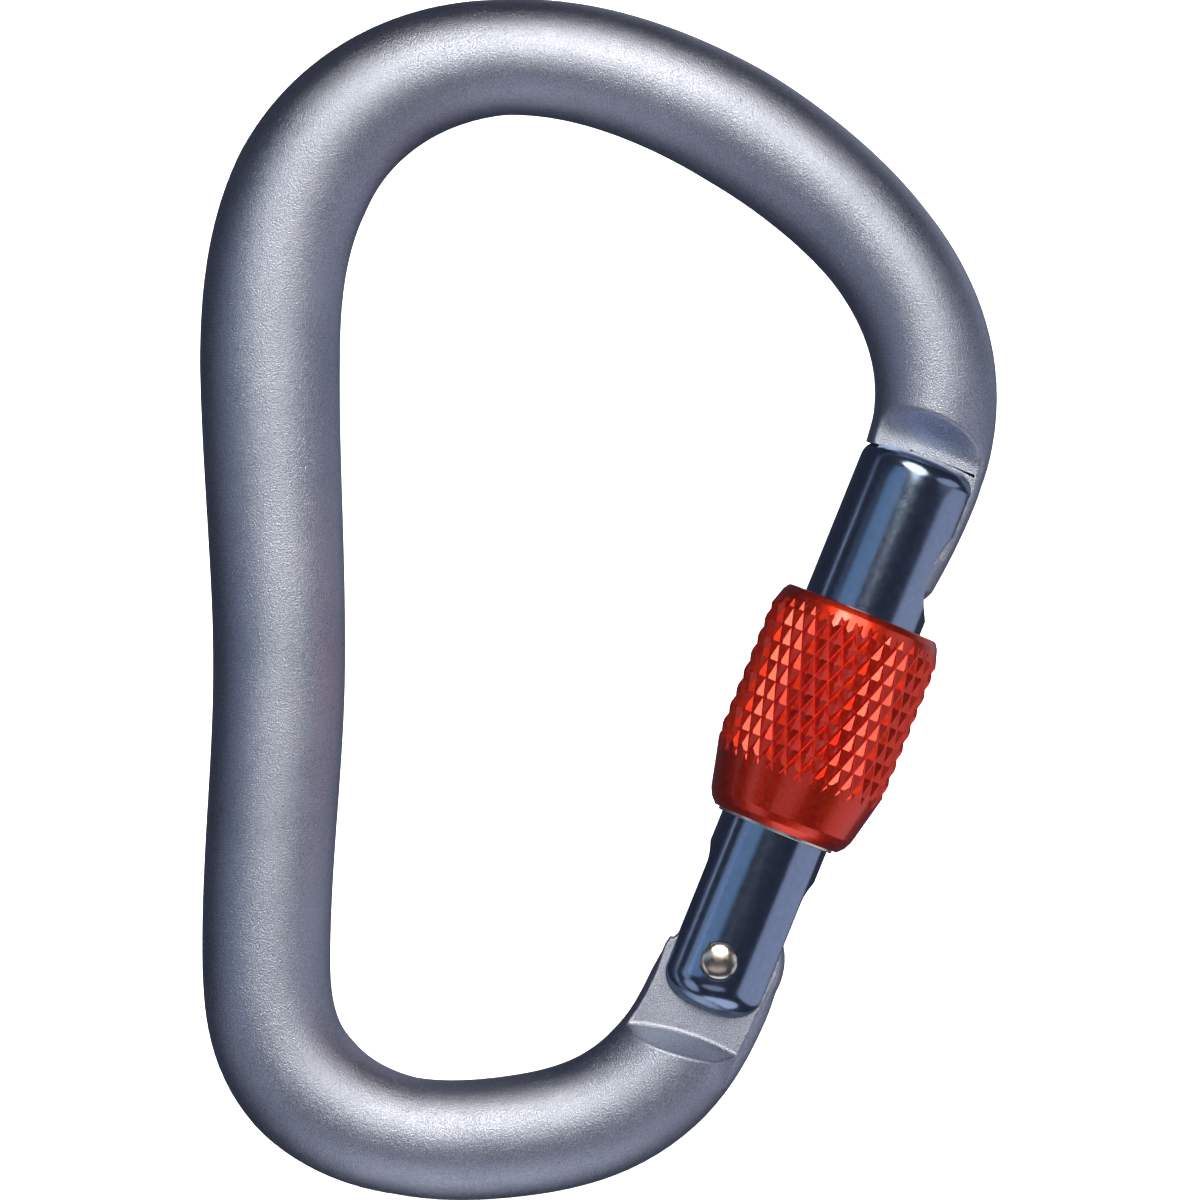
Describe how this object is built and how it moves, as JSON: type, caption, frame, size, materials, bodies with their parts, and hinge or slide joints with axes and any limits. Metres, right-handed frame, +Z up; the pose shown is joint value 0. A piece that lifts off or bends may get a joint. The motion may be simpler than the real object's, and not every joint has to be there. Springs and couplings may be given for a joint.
{
  "type": "locking carabiner",
  "caption": "Pear-shaped screw-gate locking carabiner with a round bar body, keylock nose, riveted spring gate and knurled locking sleeve.",
  "frame": {"origin": "bearing point in the middle of the inside of the top bow, where the carabiner hangs from a bolt, sling or rope", "axes": "+Z up along the spine towards the top bow, +X from the spine towards the gate, +Y across the bar's thickness, away from the side that is viewed"},
  "size_m": [0.0772, 0.0172, 0.1163],
  "materials": {
    "body_anodised": "bead-blasted, slate grey anodised, satin",
    "gate_anodised": "smooth turned, dark blue-grey anodised, semi-gloss",
    "sleeve_anodised": "diamond knurled, red-orange anodised, semi-gloss",
    "bare_ring": "bare, fine turned",
    "stainless": "polished stainless steel",
    "spring_wire": "drawn stainless spring wire"
  },
  "bodies": {
    "frame": {"body": "body_anodised"},
    "gate": {"gate": "gate_anodised", "hinge_rivet": "stainless", "gate_spring": "spring_wire"},
    "plunger": {"spring_plunger": "stainless"},
    "sleeve_carrier": {"sleeve_ring": "bare_ring"},
    "sleeve": {"locking_sleeve": "sleeve_anodised"}
  },
  "joints": [
    {"name": "gate_hinge", "type": "hinge", "parent": "frame", "child": "gate", "pos_m": [0.0197, 0, -0.0817], "axis": [0, -1, 0], "range_deg": [0, 28], "stiffness_Nm_per_rad": 0.4, "springref_deg": -34.38},
    {"name": "plunger_slide", "type": "slide", "parent": "gate", "child": "plunger", "axis": [0.3746, 0, 0.9272], "range_m": [0, 0.0022], "deforming": ["gate_spring"]},
    {"name": "sleeve_travel", "type": "slide", "parent": "gate", "child": "sleeve_carrier", "axis": [0.3746, 0, 0.9272], "range_m": [0, 0.008]},
    {"name": "sleeve_turn", "type": "hinge", "parent": "sleeve_carrier", "child": "sleeve", "pos_m": [0.02007, 0, -0.08185], "axis": [0.3746, 0, 0.9272], "range_deg": [0, 1920]}
  ],
  "couplings": [
    {"joint": "plunger_slide", "follows": "gate_hinge", "m_per_rad": 0.0045},
    {"joint": "sleeve_travel", "follows": "sleeve_turn", "m_per_rad": 0.0002387}
  ]
}
